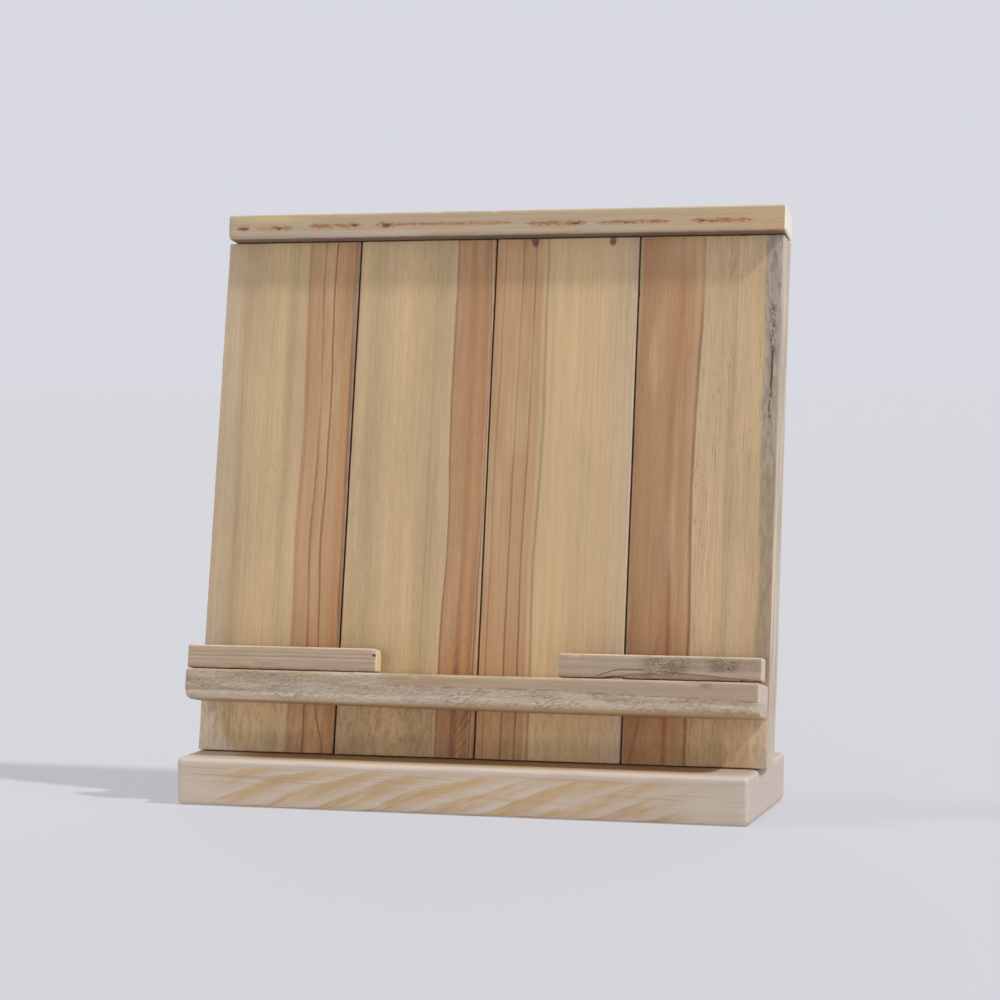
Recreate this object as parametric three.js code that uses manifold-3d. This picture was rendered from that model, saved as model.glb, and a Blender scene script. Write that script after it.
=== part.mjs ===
// A wooden stand for a tablet: a base board, a back of four planks that leans away from the user,
// a ledge with two lips that the tablet stands on, and a cap along the top.
// Millimetres. X runs to the user's right, Y away from the user and Z up. The origin is at the
// middle of the stand's footprint, on the surface that it stands on.

import * as THREE from "three";
import { mergeVertices } from "three/addons/utils/BufferGeometryUtils.js";
import Module from "manifold-3d";

const wasm = await Module();
wasm.setup();

// ---- Driving dimensions ------------------------------------------------------------------------

const LEAN = THREE.MathUtils.degToRad(10); // the back's lean away from the user
const GLUE_LINE = 0.3; // space left between two pieces that are glued face to face

const BASE = { left: -146.5, width: 287, depth: 94, thickness: 23.5, round: 2.6 };
const FOOT_SETBACK = 25.8; // base's front face to the front of the planks' feet

const PLANK_WIDTHS = [71.6, 71.7, 72.9, 71.4]; // left to right
const PLANK = { left: -145.3, seam: 0.7, thickness: 19, height: 259.9, round: 0.8 };

const LEDGE = { left: -145.5, right: 144, bottom: 23.4, thickness: 16.7, depth: 23, round: 1.8 };
const LIP = { height: 11.5, thickness: 8.5, setback: 1.4, round: 1.1 };
const LIP_SPANS = { left_lip: [-145.1, -46.2], right_lip: [45.1, 144.6] };
const CAP = { left: -142.1, right: 146.5, overhang: 7, thickness: 13, skew: 2.1, round: 1.2 };

const BATTEN = { width: 30, thickness: 12, round: 1 };
const UPPER_BATTEN = { halfLength: 130, bottom: 180 };
const LOWER_BATTEN_BOTTOM = 60;
const BRACE = { x: 110, thickness: 18, depth: 43, height: 150, heel: 22, nose: 9, round: 1 };

const SCREW = { headRadius: 3.6, headDepth: 2.6, shankRadius: 1.75, tip: 5, segments: 12 };
const NAIL = { headRadius: 1.5, headDepth: 0.6, shankRadius: 0.9, tip: 2, segments: 10 };
const HEAD_RECESS = 0.5; // how far a fastener's head lies under the face it enters
const HOLE_CLEARANCE = 0.3;
const HOLE_MOUTH = 1.5; // how far a hole's cutter runs out past the head

const BASE_SCREW_LENGTH = 45;
const BATTEN_SCREW_LENGTH = 25;
const LEDGE_SCREW_LENGTH = 35;
const CAP_SCREW_LENGTH = 35;
const LIP_NAIL_LENGTH = 20;
const FOOT_SCREW_BACKSET = 1;
const BATTEN_SCREW_STAGGER = 6; // alternately above and below the batten's middle
const LOWER_BATTEN_OUTER_SCREW = 86; // inboard of the braces
const LEDGE_OUTER_SCREW = 129; // outboard of the braces
const LIP_NAIL_INSET = 12;

const ROUND_STEPS = 2;
const END_ROUND_SHARE = 0.6;
const MERGE_DISTANCE = 1e-4;

const WOODS = {
  paleBase: { color: 0xd9cbb4, roughness: 0.75, metalness: 0 },
  tanPlank: { color: 0xb9a077, roughness: 0.8, metalness: 0 },
  greyLedge: { color: 0xb7a288, roughness: 0.85, metalness: 0 },
  stripedLip: { color: 0xbda581, roughness: 0.8, metalness: 0 },
  paleCap: { color: 0xc0ae8e, roughness: 0.8, metalness: 0 },
  hiddenPine: { color: 0xc4aa7f, roughness: 0.85, metalness: 0 },
};
const STEEL = { color: 0xb9b8b2, roughness: 0.4, metalness: 1 };

// ---- Worked out from them ----------------------------------------------------------------------

const FOOT_Y = -BASE.depth / 2 + FOOT_SETBACK;
const LEDGE_TOP = LEDGE.bottom + LEDGE.thickness;
const LIP_BOTTOM = LEDGE_TOP + GLUE_LINE;
const LIP_FRONT = -(LEDGE.depth - LIP.setback);
const CAP_BOTTOM = PLANK.height + GLUE_LINE;
const CAP_TOP = CAP_BOTTOM + CAP.thickness;
const BATTEN_FRONT = PLANK.thickness + GLUE_LINE;
const BATTEN_BACK = BATTEN_FRONT + BATTEN.thickness;
const LOWER_BATTEN_HALF = BRACE.x - BRACE.thickness / 2 - GLUE_LINE;

const UP = new THREE.Vector3(0, 0, 1);
const DOWN = new THREE.Vector3(0, 0, -1);
const BACKWARD = new THREE.Vector3(0, 1, 0);

// ---- Geometry helpers --------------------------------------------------------------------------

// Joins the vertices that faces share, so that the surface is closed.
function closed(geometry) {
  geometry.deleteAttribute("normal");
  geometry.deleteAttribute("uv");
  const merged = mergeVertices(geometry, MERGE_DISTANCE);
  merged.computeVertexNormals();
  return merged;
}

// A closed outline through the given corners, each corner rounded.
function roundedOutline(corners, radius) {
  const shape = new THREE.Shape();
  corners.forEach(([x, y], i) => {
    const corner = new THREE.Vector2(x, y);
    const before = new THREE.Vector2(...corners.at(i - 1));
    const after = new THREE.Vector2(...corners[(i + 1) % corners.length]);
    const start = before.sub(corner).setLength(radius).add(corner);
    const end = after.sub(corner).setLength(radius).add(corner);
    if (i === 0) shape.moveTo(start.x, start.y);
    else shape.lineTo(start.x, start.y);
    shape.quadraticCurveTo(corner.x, corner.y, end.x, end.y);
  });
  shape.closePath();
  return shape;
}

// A solid over an outline in the XY plane, from z = 0 to z = height, with all its arrises rounded.
// The end faces' arrises are rounded less than the outline's corners, which keeps the corners open.
function slab(corners, height, round) {
  const endRound = END_ROUND_SHARE * round;
  const geometry = new THREE.ExtrudeGeometry(roundedOutline(corners, round), {
    depth: height - 2 * endRound,
    bevelThickness: endRound,
    bevelSize: endRound,
    bevelOffset: -endRound,
    bevelSegments: ROUND_STEPS,
    curveSegments: ROUND_STEPS,
  });
  return closed(geometry).translate(0, 0, endRound);
}

// The same for an outline in the YZ plane, from x = 0 to x = length.
function bar(corners, length, round) {
  const turn = new THREE.Matrix4().makeBasis(
    new THREE.Vector3(0, 1, 0),
    new THREE.Vector3(0, 0, 1),
    new THREE.Vector3(1, 0, 0),
  );
  return slab(corners, length, round).applyMatrix4(turn);
}

function rectangle(left, bottom, width, height) {
  return [
    [left, bottom],
    [left + width, bottom],
    [left + width, bottom + height],
    [left, bottom + height],
  ];
}

function toSolid(geometry) {
  return new wasm.Manifold(
    new wasm.Mesh({
      numProp: 3,
      vertProperties: geometry.getAttribute("position").array,
      triVerts: new Uint32Array(geometry.index.array),
    }),
  );
}

function toGeometry(solid) {
  const { vertProperties, triVerts } = solid.getMesh();
  const geometry = new THREE.BufferGeometry();
  geometry.setAttribute("position", new THREE.BufferAttribute(vertProperties, 3));
  geometry.setIndex(new THREE.BufferAttribute(triVerts, 1));
  geometry.computeVertexNormals();
  return geometry;
}

function addMesh(group, name, geometry, finish, position = new THREE.Vector3()) {
  const mesh = new THREE.Mesh(geometry, new THREE.MeshStandardMaterial(finish));
  mesh.name = name;
  mesh.position.copy(position);
  group.add(mesh);
  return mesh;
}

// ---- Fasteners ---------------------------------------------------------------------------------

// A countersunk fastener about the Y axis, its head's top at y = 0 and its point at y = -length.
// A positive grow gives the hole that the fastener needs, open past its head.
function turnedFastener(size, length, grow) {
  const head = size.headRadius + grow;
  const shank = size.shankRadius + grow;
  const profile = [
    [0, -length - grow],
    [shank, -length + size.tip],
    [shank, -size.headDepth],
    [head, 0],
  ];
  if (grow > 0) profile.push([head, HOLE_MOUTH]);
  profile.push([0, grow > 0 ? HOLE_MOUTH : 0]);
  const points = profile.map(([radius, y]) => new THREE.Vector2(radius, y));
  return closed(new THREE.LatheGeometry(points, size.segments));
}

const holes = new Map();

// Sets a fastener under a face at the given point; outward is the way its head faces.
function addFastener(group, name, size, length, point, outward) {
  const place = point.clone().addScaledVector(outward, -HEAD_RECESS);
  const mesh = addMesh(group, name, turnedFastener(size, length, 0), STEEL, place);
  mesh.quaternion.setFromUnitVectors(new THREE.Vector3(0, 1, 0), outward);
  holes.set(mesh, turnedFastener(size, length, HOLE_CLEARANCE));
  return mesh;
}

// Cuts the fasteners' holes out of a piece, whichever groups the piece and the fasteners are in.
function drill(piece, fasteners) {
  const toPiece = piece.matrixWorld.clone().invert();
  let solid = toSolid(piece.geometry);
  for (const fastener of fasteners) {
    const placed = new THREE.Matrix4().multiplyMatrices(toPiece, fastener.matrixWorld);
    solid = solid.subtract(toSolid(holes.get(fastener).clone().applyMatrix4(placed)));
  }
  piece.geometry = toGeometry(solid);
}

// ---- The wooden pieces -------------------------------------------------------------------------

const stand = new THREE.Group();
stand.name = "tablet_stand";

// Everything on the leaning back is placed in this group: Z runs up the planks' slope from the front
// of their feet, and Y runs backwards, with the planks' front faces at y = 0.
const back = new THREE.Group();
back.name = "leaning_back";
back.position.set(0, FOOT_Y, BASE.thickness);
back.rotation.x = -LEAN;
stand.add(back);

function makeBase() {
  const outline = rectangle(0, 0, BASE.width, BASE.depth);
  const corner = new THREE.Vector3(BASE.left, -BASE.depth / 2, 0);
  return addMesh(stand, "base_board", slab(outline, BASE.thickness, BASE.round), WOODS.paleBase, corner);
}

// A plank's side outline: its foot is cut level, to sit flat on the base when the plank leans.
function makePlanks() {
  const footLift = GLUE_LINE / Math.cos(LEAN);
  const outline = [
    [0, footLift],
    [PLANK.thickness, footLift + PLANK.thickness * Math.tan(LEAN)],
    [PLANK.thickness, PLANK.height],
    [0, PLANK.height],
  ];
  let left = PLANK.left;
  return PLANK_WIDTHS.map((width, i) => {
    const place = new THREE.Vector3(left, 0, 0);
    left += width + PLANK.seam;
    const mesh = addMesh(
      back, `back_plank_${i + 1}`, bar(outline, width, PLANK.round), WOODS.tanPlank, place,
    );
    mesh.userData.middle = place.x + width / 2;
    return mesh;
  });
}

function makeLedge() {
  const outline = rectangle(-LEDGE.depth, 0, LEDGE.depth - GLUE_LINE, LEDGE.thickness);
  const geometry = bar(outline, LEDGE.right - LEDGE.left, LEDGE.round);
  const place = new THREE.Vector3(LEDGE.left, 0, LEDGE.bottom);
  return addMesh(back, "tablet_ledge", geometry, WOODS.greyLedge, place);
}

function makeLips() {
  return Object.entries(LIP_SPANS).map(([name, [from, to]]) => {
    const outline = rectangle(0, 0, LIP.thickness, LIP.height);
    const place = new THREE.Vector3(from, LIP_FRONT, LIP_BOTTOM);
    return addMesh(back, name, bar(outline, to - from, LIP.round), WOODS.stripedLip, place);
  });
}

// The cap's right end is cut a little out of square: its back corner stands further in.
function makeCap() {
  const depth = CAP.overhang + PLANK.thickness;
  const length = CAP.right - CAP.left;
  const outline = [
    [0, 0],
    [length, 0],
    [length - CAP.skew, depth],
    [0, depth],
  ];
  const place = new THREE.Vector3(CAP.left, -CAP.overhang, CAP_BOTTOM);
  return addMesh(back, "top_cap", slab(outline, CAP.thickness, CAP.round), WOODS.paleCap, place);
}

function makeBatten(name, halfLength, bottom) {
  const outline = rectangle(0, 0, BATTEN.thickness, BATTEN.width);
  const place = new THREE.Vector3(-halfLength, BATTEN_FRONT, bottom);
  return addMesh(back, name, bar(outline, 2 * halfLength, BATTEN.round), WOODS.hiddenPine, place);
}

// A gusset that stands on the base and fills the corner behind the planks.
function makeBrace(name, x) {
  const behindPlanks = (height) =>
    FOOT_Y + (PLANK.thickness + GLUE_LINE) / Math.cos(LEAN) + height * Math.tan(LEAN);
  const heelY = behindPlanks(0) + BRACE.depth;
  const outline = [
    [behindPlanks(GLUE_LINE), GLUE_LINE],
    [heelY, GLUE_LINE],
    [heelY, BRACE.heel],
    [behindPlanks(BRACE.height) + BRACE.nose, BRACE.height],
    [behindPlanks(BRACE.height), BRACE.height],
  ];
  const place = new THREE.Vector3(x - BRACE.thickness / 2, 0, BASE.thickness);
  return addMesh(stand, name, bar(outline, BRACE.thickness, BRACE.round), WOODS.hiddenPine, place);
}

const base = makeBase();
const planks = makePlanks();
const ledge = makeLedge();
const lips = makeLips();
const cap = makeCap();
const upperBatten = makeBatten("upper_rear_batten", UPPER_BATTEN.halfLength, UPPER_BATTEN.bottom);
const lowerBatten = makeBatten("lower_rear_batten", LOWER_BATTEN_HALF, LOWER_BATTEN_BOTTOM);
const braces = [makeBrace("left_rear_brace", -BRACE.x), makeBrace("right_rear_brace", BRACE.x)];

// ---- The screws and nails ----------------------------------------------------------------------

const middles = planks.map((plank) => plank.userData.middle);

// The planks lean, so a screw straight up from the base aims a little behind the foot's middle.
const footMiddle = FOOT_Y + PLANK.thickness / 2 / Math.cos(LEAN) + FOOT_SCREW_BACKSET;
const baseScrews = middles.map((x, i) => {
  const point = new THREE.Vector3(x, footMiddle, 0);
  return addFastener(stand, `base_screw_${i + 1}`, SCREW, BASE_SCREW_LENGTH, point, DOWN);
});

const braceMiddle = FOOT_Y + PLANK.thickness + BRACE.depth / 2;
const braceScrews = ["left", "right"].map((side, i) => {
  const point = new THREE.Vector3(i === 0 ? -BRACE.x : BRACE.x, braceMiddle, 0);
  return addFastener(stand, `brace_screw_${side}`, SCREW, BASE_SCREW_LENGTH, point, DOWN);
});

function battenScrews(prefix, columns, bottom) {
  return columns.map((x, i) => {
    const stagger = i % 2 === 0 ? BATTEN_SCREW_STAGGER : -BATTEN_SCREW_STAGGER;
    const point = new THREE.Vector3(x, BATTEN_BACK, bottom + BATTEN.width / 2 + stagger);
    return addFastener(back, `${prefix}_${i + 1}`, SCREW, BATTEN_SCREW_LENGTH, point, BACKWARD);
  });
}

const upperScrews = battenScrews("upper_batten_screw", middles, UPPER_BATTEN.bottom);
const lowerColumns = [
  -LOWER_BATTEN_OUTER_SCREW, middles[1], middles[2], LOWER_BATTEN_OUTER_SCREW,
];
const lowerScrews = battenScrews("lower_batten_screw", lowerColumns, LOWER_BATTEN_BOTTOM);

const ledgeColumns = [-LEDGE_OUTER_SCREW, middles[1], middles[2], LEDGE_OUTER_SCREW];
const ledgeScrews = ledgeColumns.map((x, i) => {
  const point = new THREE.Vector3(x, PLANK.thickness, LEDGE.bottom + LEDGE.thickness / 2);
  return addFastener(back, `ledge_screw_${i + 1}`, SCREW, LEDGE_SCREW_LENGTH, point, BACKWARD);
});

const capScrews = middles.map((x, i) => {
  const point = new THREE.Vector3(x, PLANK.thickness / 2, CAP_TOP);
  return addFastener(back, `cap_screw_${i + 1}`, SCREW, CAP_SCREW_LENGTH, point, UP);
});

const lipNails = lips.map((lip) => {
  const [from, to] = LIP_SPANS[lip.name];
  return [from + LIP_NAIL_INSET, to - LIP_NAIL_INSET].map((x, i) => {
    const point = new THREE.Vector3(x, LIP_FRONT + LIP.thickness / 2, LIP_BOTTOM + LIP.height);
    return addFastener(back, `${lip.name}_nail_${i + 1}`, NAIL, LIP_NAIL_LENGTH, point, UP);
  });
});

// ---- Drilling ----------------------------------------------------------------------------------

stand.updateMatrixWorld(true);
drill(base, [...baseScrews, ...braceScrews]);
planks.forEach((plank, i) => {
  drill(plank, [baseScrews[i], upperScrews[i], lowerScrews[i], ledgeScrews[i], capScrews[i]]);
});
drill(ledge, [...ledgeScrews, ...lipNails.flat()]);
lips.forEach((lip, i) => drill(lip, lipNails[i]));
drill(cap, capScrews);
drill(upperBatten, upperScrews);
drill(lowerBatten, lowerScrews);
braces.forEach((brace, i) => drill(brace, [braceScrews[i]]));

export default stand;
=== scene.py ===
# A wooden tablet stand: sawn pine boards, screws and nails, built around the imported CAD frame.
# Meshes are worked out in millimetres and placed in metres.
import functools
import math

import bpy
import numpy as np
from mathutils import Matrix, Vector, noise


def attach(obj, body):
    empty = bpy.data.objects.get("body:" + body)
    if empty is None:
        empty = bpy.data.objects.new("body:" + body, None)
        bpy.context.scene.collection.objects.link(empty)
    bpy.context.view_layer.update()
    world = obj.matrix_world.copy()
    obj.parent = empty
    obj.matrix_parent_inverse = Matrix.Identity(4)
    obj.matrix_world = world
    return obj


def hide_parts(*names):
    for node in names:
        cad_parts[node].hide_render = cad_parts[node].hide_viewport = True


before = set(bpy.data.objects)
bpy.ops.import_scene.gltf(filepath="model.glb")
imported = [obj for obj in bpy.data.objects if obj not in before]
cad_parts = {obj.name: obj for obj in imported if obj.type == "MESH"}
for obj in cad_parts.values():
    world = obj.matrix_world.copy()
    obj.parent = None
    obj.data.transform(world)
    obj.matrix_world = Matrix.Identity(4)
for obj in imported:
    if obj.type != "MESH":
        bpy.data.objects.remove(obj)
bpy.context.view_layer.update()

MM = 0.001
LEAN = math.radians(10)
CHIP_PLACE = 72.5  # where along the row the right lip is chipped
NOWHERE = 1e6  # a place that no board reaches


# ---- Where things are

def cad_points(node):
    """A CAD node's vertices in the row frame, in millimetres."""
    return np.array([v.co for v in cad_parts[node].data.vertices], float) / MM


def leaning_place():
    """The planks' own frame: X right, Y backwards from their front faces, Z up their slope."""
    top = cad_points("base_board")[:, 2].max()
    plank = cad_points("back_plank_1")
    foot = (plank[:, 1] - (plank[:, 2] - top) * math.tan(LEAN)).min()
    return Matrix.Translation((0, foot, top)) @ Matrix.Rotation(-LEAN, 4, "X")


UPRIGHT = Matrix.Identity(4)
LEANING = leaning_place()


def moved(points, matrix):
    """Points, an array of rows, taken through a 4 x 4 matrix."""
    turn = np.array(matrix.to_3x3())
    return points @ turn.T + np.array(matrix.translation)


def rough(points, size, seed):
    """Smooth noise from about -1 to 1 at each point, with features of that size in millimetres."""
    places = points / size + seed
    return np.array([noise.noise(place) for place in places.tolist()])


def ramp(values, start, end):
    """0 at start, 1 at end, smooth between them and level beyond."""
    share = np.clip((values - start) / (end - start), 0, 1)
    return share * share * (3 - 2 * share)


# ---- Mesh helpers

def add_object(name, data):
    """A new object in the scene."""
    made = bpy.data.objects.new(name, data)
    bpy.context.scene.collection.objects.link(made)
    return made


def add_mesh(name, points, faces, matrix=UPRIGHT):
    """A new object with its vertices in the row frame, in metres."""
    mesh = bpy.data.meshes.new(name)
    mesh.from_pydata((moved(points, matrix) * MM).tolist(), [], faces)
    mesh.update()
    return add_object(name, mesh)


def cut(piece, cutter):
    """Takes the cutter's space out of the piece."""
    step = piece.modifiers.new("cut", "BOOLEAN")
    step.operation = "DIFFERENCE"
    step.solver = "MANIFOLD"
    step.object = cutter
    graph = bpy.context.evaluated_depsgraph_get()
    mesh = bpy.data.meshes.new_from_object(piece.evaluated_get(graph))
    piece.modifiers.clear()
    piece.data = mesh


def smooth_shade(piece, sharp_degrees):
    """Shades a piece smooth, apart from edges that turn by more than that many degrees."""
    piece.data.polygons.foreach_set("use_smooth", [True] * len(piece.data.polygons))
    piece.data.set_sharp_from_angle(angle=math.radians(sharp_degrees))


def add_attribute(mesh, name, kind, values):
    """Stores one value for each vertex, which the materials read."""
    made = mesh.attributes.new(name, kind, "POINT")
    key = "vector" if kind == "FLOAT_VECTOR" else "value"
    made.data.foreach_set(key, np.asarray(values, np.float32).ravel())


def mesh_points(mesh, matrix):
    """A mesh's vertices in millimetres, in the frame that the matrix places."""
    return moved(np.array([v.co for v in mesh.vertices], float) / MM, matrix.inverted())


def finish_piece(piece, material, nodes):
    """Gives a piece its finish, puts it under the root body and hides the CAD nodes that it takes the
    place of.
    """
    piece.data.materials.clear()
    piece.data.materials.append(material)
    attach(piece, "root")
    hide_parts(*nodes)


def revolve(profile, segments):
    """A closed surface about the Y axis from (radius, y) points, the first and last on the axis."""
    points = [(0.0, profile[0][1], 0.0)]
    for radius, y in profile[1:-1]:
        for i in range(segments):
            angle = 2 * math.pi * i / segments
            points.append((radius * math.cos(angle), y, radius * math.sin(angle)))
    points.append((0.0, profile[-1][1], 0.0))
    faces = []
    rings = len(profile) - 2
    last = len(points) - 1
    for i in range(segments):
        j = (i + 1) % segments
        faces.append((0, 1 + i, 1 + j))
        for ring in range(rings - 1):
            low = 1 + ring * segments
            high = low + segments
            faces.append((low + i, high + i, high + j, low + j))
        top = 1 + (rings - 1) * segments
        faces.append((top + j, top + i, last))
    return np.array(points), faces


# ---- Boards

ARC_DEGREES = (45, 34, 23, 12)  # where a rounded arris has its lines, from its middle to its edge


def mesh_lines(low, high, radius, step):
    """Places of a board's mesh lines along one side: close in the arrises, a step apart between."""
    arc = [radius * (1 - math.tan(math.radians(angle))) for angle in ARC_DEGREES]
    count = max(1, round((high - low - 2 * radius) / step))
    middle = np.linspace(low + radius, high - radius, count + 1)
    return np.concatenate([low + np.array(arc), middle, high - np.array(arc[::-1])])


def box_skin(lines):
    """Vertices and faces of a box whose three sides have the given mesh lines."""
    shape = tuple(len(side) for side in lines)
    on_skin = np.ones(shape, bool)
    on_skin[1:-1, 1:-1, 1:-1] = False
    number = np.full(shape, -1)
    number[on_skin] = np.arange(on_skin.sum())
    points = np.stack(np.meshgrid(*lines, indexing="ij"), -1)[on_skin]
    faces = []
    for axis in range(3):
        for end in (0, -1):
            sheet = np.take(number, end, axis)
            corners = (sheet[:-1, :-1], sheet[1:, :-1], sheet[1:, 1:], sheet[:-1, 1:])
            quads = np.stack(corners, -1).reshape(-1, 4)
            if (end == 0) != (axis == 1):
                quads = quads[:, ::-1]
            faces.extend(quads.tolist())
    return points, faces


class Board:
    """One sawn board: a box whose sides may depend on where on the board they are."""

    dents = 0.9

    def __init__(self, node, place, axes, radius, step=2.0, wear=0.12, seed=0.0):
        self.node = node
        self.place = place
        self.axes = axes
        self.radius = radius
        self.step = step
        self.wear = wear
        self.seed = seed
        own = moved(cad_points(node), place.inverted())
        self.low = own.min(0)
        self.high = own.max(0)

    def sides(self, points):
        """Lowest and highest corner of the board at each point."""
        low = np.repeat(self.low[None], len(points), 0)
        high = np.repeat(self.high[None], len(points), 0)
        return low, high

    def roundness(self, points):
        """Radius of the arrises at each point: worn unevenly, with a few dents."""
        uneven = 1 + 0.28 * rough(points, 22, self.seed) + 0.12 * rough(points, 5, self.seed + 7)
        dents = ramp(rough(points, 6, self.seed + 3), 0.42, 0.7)
        return self.radius * np.clip(uneven + self.dents * dents, 0.55, 2.2)

    def hollows(self, points):
        """How far the surface lies inside the plain board, in millimetres."""
        broad = 0.5 + 0.5 * rough(points, 45, self.seed + 11)
        small = 0.5 + 0.5 * rough(points, 7, self.seed + 17)
        return self.wear * (0.8 * broad + 0.35 * small)

    def timber(self, points):
        """Coordinates along the grain, across the face and into the board."""
        along, across, depth = self.axes
        own = points - self.low
        own[:, along] = points[:, along]
        return own[:, (along, across, depth)]

    def to_arris(self, points):
        """Distance to the nearest arris."""
        low, high = self.sides(points)
        gaps = np.minimum(points - low, high - points)
        return np.clip(np.sort(gaps, 1)[:, 1], 0, 50)

    def build(self, holes):
        lines = [
            mesh_lines(low, high, self.radius, self.step) for low, high in zip(self.low, self.high)
        ]
        points, faces = box_skin(lines)
        radius = self.roundness(points)[:, None]
        core = np.clip(points, self.low + radius, self.high - radius)
        outward = points - core
        outward /= np.linalg.norm(outward, axis=1)[:, None]
        share = (core - self.low - radius) / (self.high - self.low - 2 * radius)
        low, high = self.sides(core)
        core = low + radius + share * (high - low - 2 * radius)
        surface = core + outward * (radius - self.hollows(points)[:, None])
        piece = add_mesh(self.node, surface, faces, self.place)
        cut(piece, holes)
        own = mesh_points(piece.data, self.place)
        add_attribute(piece.data, "arris", "FLOAT", self.to_arris(own))
        add_attribute(piece.data, "timber", "FLOAT_VECTOR", self.timber(own))
        smooth_shade(piece, 40)
        return piece


class Base(Board):
    """The board at the bottom, planed and rounded evenly."""

    dents = 0.25


class Plank(Board):
    """A plank of the back, its foot cut level where it leans, its edges not quite parallel."""

    drift = (0.0, 0.0)  # how far its left and right edges lean to the right at the top
    swell = (0.0, 0.0)  # how much wider it is at the back on each side, to close the seams

    def sides(self, points):
        low, high = super().sides(points)
        share = (points[:, 2] - self.low[2]) / (self.high[2] - self.low[2])
        behind = ramp(points[:, 1] - self.low[1], 4, 9)
        low[:, 0] += self.drift[0] * share - self.swell[0] * behind
        high[:, 0] += self.drift[1] * share + self.swell[1] * behind
        low[:, 2] += points[:, 1] * math.tan(LEAN)
        return low, high


class Ledge(Board):
    """The shelf: its lower front arris is rounder and its underside rises to the left."""

    def roundness(self, points):
        front = ramp(points[:, 1] - self.low[1], 7, 3)
        bottom = ramp(points[:, 2] - self.low[2], 7, 3)
        return super().roundness(points) + 1.5 * front * bottom

    def sides(self, points):
        low, high = super().sides(points)
        low[:, 2] += 1.5 * ramp(points[:, 0], 60, -140)
        return low, high


class Lip(Board):
    """A strip on the ledge's front edge. A top corner may be rounded off or the lower edge chipped."""

    corner = NOWHERE  # where along the strip its top corner is rounded off
    chip = NOWHERE  # where along the strip its lower edge is split away

    def roundness(self, points):
        at_end = ramp(abs(points[:, 0] - self.corner), 5, 1)
        return super().roundness(points) + 1.1 * at_end * ramp(points[:, 2] - self.high[2], -5, -2)

    def sides(self, points):
        low, high = super().sides(points)
        low[:, 2] += 0.8 * np.exp(-((points[:, 0] - self.chip) / 4.5) ** 2)
        return low, high


class Cap(Board):
    """The strip along the top: its right end is out of square and its lower left edge is worn."""

    def __init__(self, *args, **kwargs):
        super().__init__(*args, **kwargs)
        own = moved(cad_points(self.node), self.place.inverted())
        self.skew = self.high[0] - own[own[:, 1] > self.high[1] - 1.5][:, 0].max()

    def roundness(self, points):
        worn = ramp(points[:, 0], -100, -115) * ramp(points[:, 2] - self.low[2], 6, 2)
        return super().roundness(points) + worn

    def sides(self, points):
        low, high = super().sides(points)
        share = (points[:, 1] - self.low[1]) / (self.high[1] - self.low[1])
        high[:, 0] -= self.skew * share
        return low, high


class Brace(Board):
    """A gusset between the base and the planks' backs, sloping in above its heel."""

    def __init__(self, *args, **kwargs):
        super().__init__(*args, **kwargs)
        own = cad_points(self.node)
        at_back = own[:, 1] > self.high[1] - 0.5 * self.radius
        at_top = own[:, 2] > self.high[2] - 0.5 * self.radius
        self.heel = own[at_back][:, 2].max()
        self.nose = own[at_top][:, 1].max() - own[at_top][:, 1].min() + self.radius

    def sides(self, points):
        low, high = super().sides(points)
        lift = points[:, 2] - self.low[2]
        front = self.low[1] + lift * math.tan(LEAN)
        front_at_top = self.low[1] + (self.high[2] - self.low[2]) * math.tan(LEAN)
        share = np.clip((points[:, 2] - self.heel) / (self.high[2] - self.heel), 0, 1)
        low[:, 1] = front
        high[:, 1] = self.high[1] + share * (front_at_top + self.nose - self.high[1])
        return low, high


# ---- Fasteners

# The head's radius and depth, the shank's radius and the length of the tip.
SCREW = (3.6, 2.6, 1.75, 5.0)
NAIL = (1.5, 0.6, 0.9, 2.0)
CLEARANCE = 0.3
MOUTH = 1.5  # how far a hole's cutter stands out past the head
HOLE_SEGMENTS = 28

DOWN = Vector((0, 0, -1))
BACKWARD = LEANING.to_3x3() @ Vector((0, 1, 0))
UPWARD = LEANING.to_3x3() @ Vector((0, 0, 1))
OUTWARD = {
    "base_screw": DOWN,
    "brace_screw": DOWN,
    "upper_batten_screw": BACKWARD,
    "lower_batten_screw": BACKWARD,
    "ledge_screw": BACKWARD,
    "cap_screw": UPWARD,
    "left_lip_nail": UPWARD,
    "right_lip_nail": UPWARD,
}


class Fastener:
    """A screw or nail, where its CAD node says. Its own frame has the head's top at Y = 0."""

    def __init__(self, node):
        self.node = node
        self.kind = node.rsplit("_", 1)[0]
        self.size = NAIL if "nail" in node else SCREW
        outward = OUTWARD[self.kind]
        points = cad_points(node)
        height = points @ np.array(outward)
        head = Vector(points[height > height.max() - 0.01].mean(0))
        self.length = round(float(height.max() - height.min()), 2)
        turn = Vector((0, 1, 0)).rotation_difference(outward).to_matrix().to_4x4()
        self.place = Matrix.Translation(head) @ turn

    def hole(self):
        """The space that the fastener needs, open past its head."""
        head, head_depth, shank, tip = self.size
        head += CLEARANCE
        shank += CLEARANCE
        profile = [
            (0, -self.length - CLEARANCE), (shank, -self.length + tip), (shank, -head_depth),
            (head, 0), (head, MOUTH), (0, MOUTH),
        ]
        return revolve(profile, HOLE_SEGMENTS)


THREAD_PITCH = 1.9
THREAD_ROWS = 5  # mesh rows in one turn of the thread
THREAD_DEPTH = 0.55
SCREW_SEGMENTS = 30


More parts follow.
